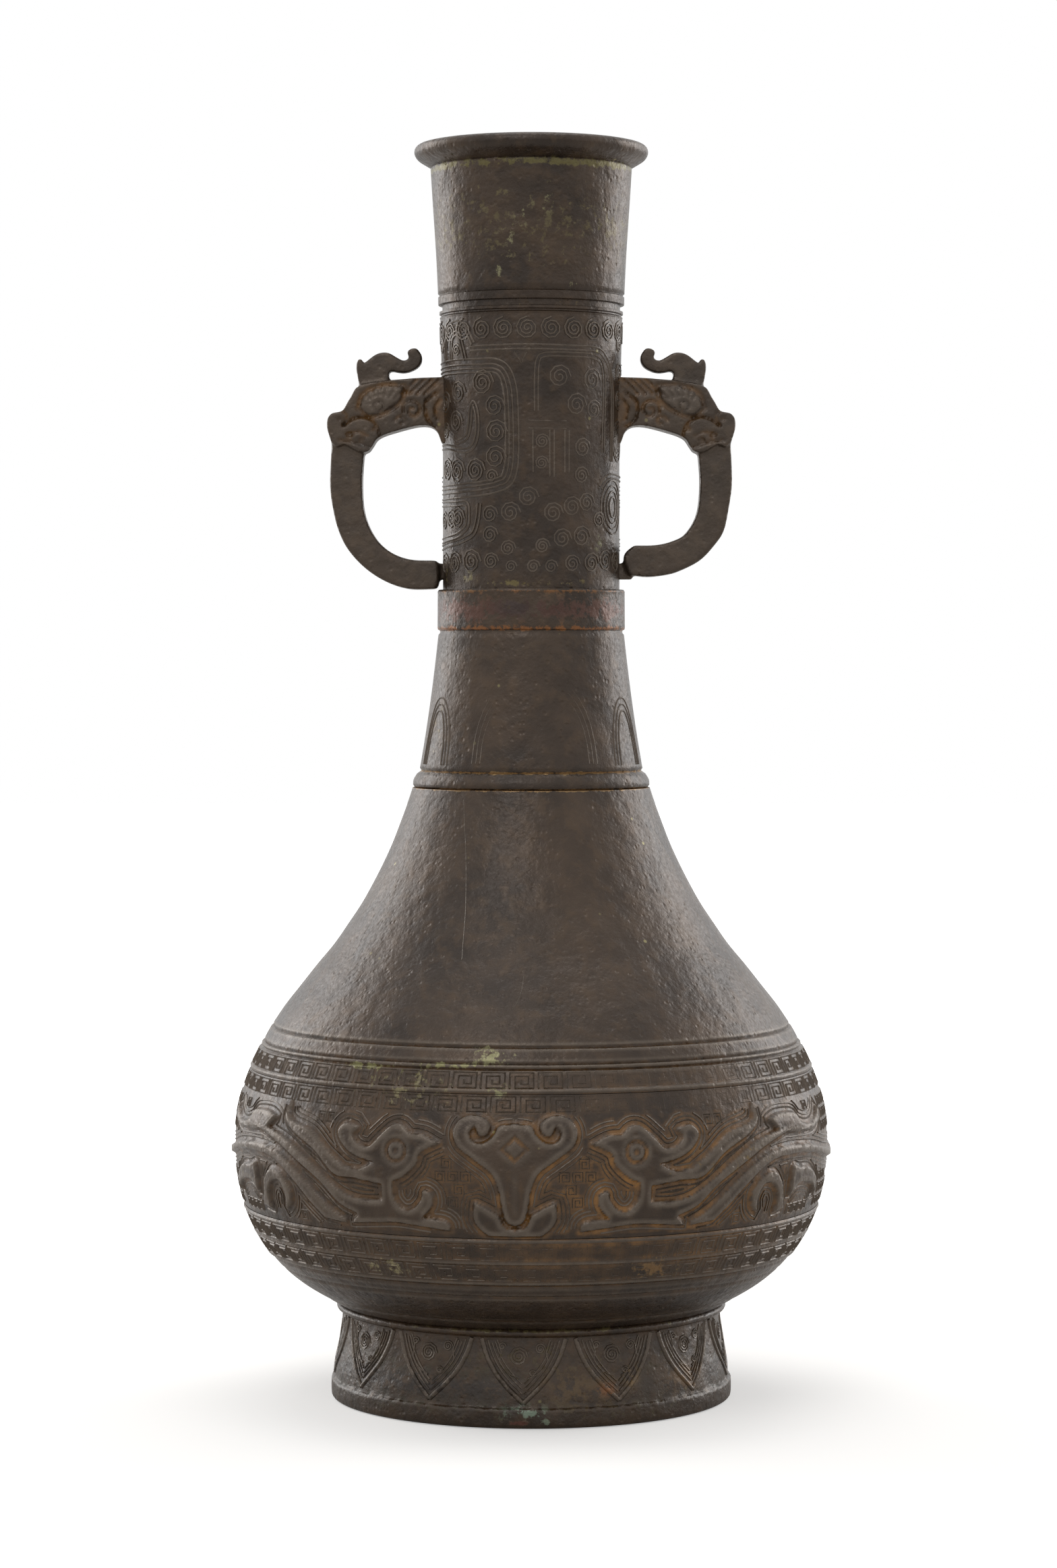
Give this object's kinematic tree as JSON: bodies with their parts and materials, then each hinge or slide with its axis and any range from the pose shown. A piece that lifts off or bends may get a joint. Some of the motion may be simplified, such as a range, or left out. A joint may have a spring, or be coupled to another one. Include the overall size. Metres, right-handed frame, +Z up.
{
  "type": "bronze vase",
  "caption": "Cast bronze bottle vase with a round belly in relief, a tall straight neck with two beast-head strap handles, and a hollow ring foot.",
  "frame": {"origin": "middle of the foot's underside, on the floor the vase stands on", "axes": "+Z up along the vase's axis, -Y towards the front with the beast mask, X through the two handles"},
  "size_m": [0.1446, 0.1448, 0.3],
  "materials": {
    "bronze": "dark brown patina, ochre in the recesses"
  },
  "bodies": {
    "root": {"vase": "bronze"}
  },
  "joints": []
}
